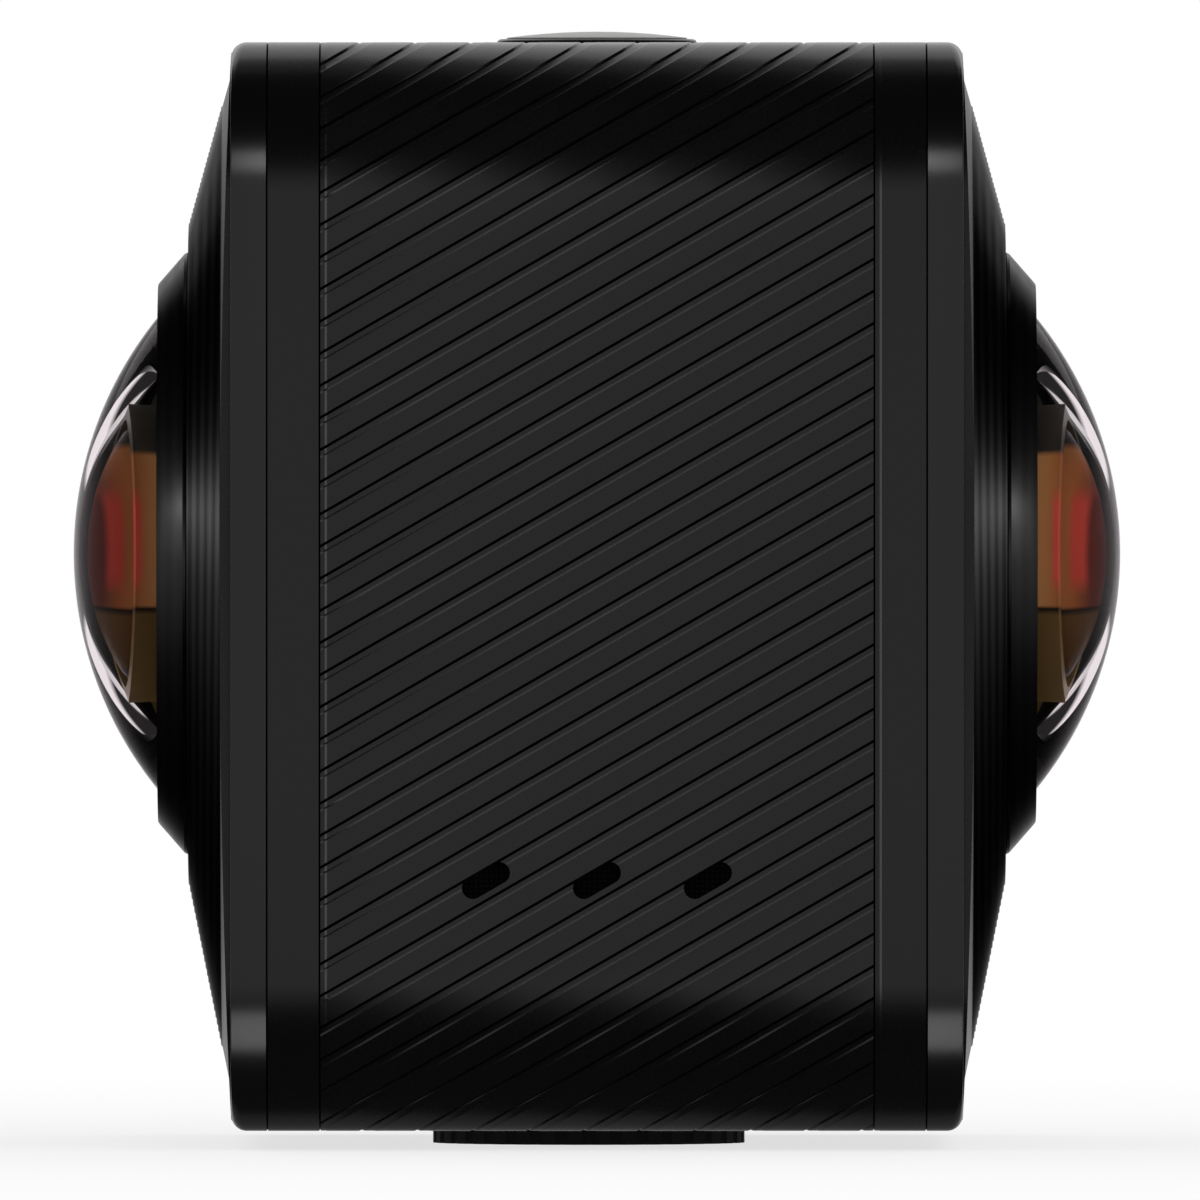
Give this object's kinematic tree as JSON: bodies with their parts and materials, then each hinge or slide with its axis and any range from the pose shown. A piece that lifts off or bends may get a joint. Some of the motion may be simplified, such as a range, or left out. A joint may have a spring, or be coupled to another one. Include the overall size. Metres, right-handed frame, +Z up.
{
  "type": "360 degree camera",
  "caption": "Small cube camera with a bulging fisheye lens at each end, a slant-grooved sleeve, a top button, a port door and a tripod foot.",
  "frame": {"origin": "middle of the underside of the foot, under the middle of the object's box", "axes": "+X along the lens axis to the front lens, +Y to the side with the port door, +Z up"},
  "size_m": [0.058, 0.06, 0.0617],
  "materials": {
    "sleeve_plastic": "satin black moulding with slanted grooves",
    "frame_plastic": "fine satin black moulding",
    "rim_plastic": "polished black moulding",
    "plate_plastic": "semi-gloss black moulding",
    "surround_metal": "turned ring, black coating",
    "ring_metal": "turned ring, black coating",
    "dome_glass": "polished, coated",
    "red_glass": "polished, red coating",
    "amber_glass": "polished, amber coating",
    "field_glass": "polished",
    "barrel_metal": "matte black inside and out",
    "holder_plastic": "moulded",
    "seal_rubber": "soft black",
    "sensor": "glass topped chip",
    "circuit_board": "green lacquer",
    "flex_film": "amber film",
    "connector_plastic": "ivory moulding",
    "screw_steel": "plated",
    "chassis_metal": "pressed and blasted",
    "chip": "moulded package",
    "spreader_metal": "plain",
    "antenna_ceramic": "fired",
    "socket_steel": "plated",
    "battery_wrap": "foil pouch",
    "speaker_plastic": "moulded",
    "mesh_cloth": "fine woven mesh",
    "switch_plastic": "moulded",
    "plunger_plastic": "moulded",
    "button_plastic": "satin, slightly domed",
    "button_ring_metal": "black coating",
    "foot_rubber": "moulded with a fluted edge",
    "bush_brass": "turned and tapped",
    "bay_plastic": "moulded",
    "door_plastic": "satin black moulding",
    "pin_steel": "drawn wire"
  },
  "bodies": {
    "body": {"centre_sleeve": "sleeve_plastic", "front_frame": "frame_plastic", "rear_frame": "frame_plastic", "front_rim": "rim_plastic", "rear_rim": "rim_plastic", "front_plate": "plate_plastic", "rear_plate": "plate_plastic", "front_surround": "surround_metal", "rear_surround": "surround_metal", "front_lens_ring": "ring_metal", "rear_lens_ring": "ring_metal", "front_dome": "dome_glass", "rear_dome": "dome_glass", "front_lens_seal": "seal_rubber", "rear_lens_seal": "seal_rubber", "front_second_element": "red_glass", "rear_second_element": "red_glass", "front_third_element": "amber_glass", "rear_third_element": "amber_glass", "front_field_lens": "field_glass", "rear_field_lens": "field_glass", "front_barrel": "barrel_metal", "rear_barrel": "barrel_metal", "front_lens_holder": "holder_plastic", "rear_lens_holder": "holder_plastic", "front_image_sensor": "sensor", "rear_image_sensor": "sensor", "front_sensor_board": "circuit_board", "rear_sensor_board": "circuit_board", "front_flex": "flex_film", "rear_flex": "flex_film", "flex_connectors": "connector_plastic", "holder_screws": "screw_steel", "case_screws": "screw_steel", "board_screws": "screw_steel", "chassis": "chassis_metal", "main_board": "circuit_board", "processor": "chip", "memory_chip": "chip", "heat_spreader": "spreader_metal", "antenna": "antenna_ceramic", "usb_socket": "socket_steel", "card_socket": "socket_steel", "battery": "battery_wrap", "speaker": "speaker_plastic", "speaker_mesh": "mesh_cloth", "button_board": "circuit_board", "switch_body": "switch_plastic", "button_ring": "button_ring_metal", "foot_pad": "foot_rubber", "tripod_bush": "bush_brass", "port_bay": "bay_plastic", "door_pin": "pin_steel"},
    "shutter": {"shutter_button": "button_plastic", "switch_plunger": "plunger_plastic"},
    "door": {"port_door": "door_plastic"}
  },
  "joints": [
    {"name": "button_press", "type": "slide", "parent": "body", "child": "shutter", "axis": [0, 0, -1], "range_m": [0, 0.0004], "stiffness_N_per_m": 700},
    {"name": "door_hinge", "type": "hinge", "parent": "body", "child": "door", "pos_m": [-0.0083, 0.029, 0.016], "axis": [0, 0, 1], "range_deg": [0, 95]}
  ]
}
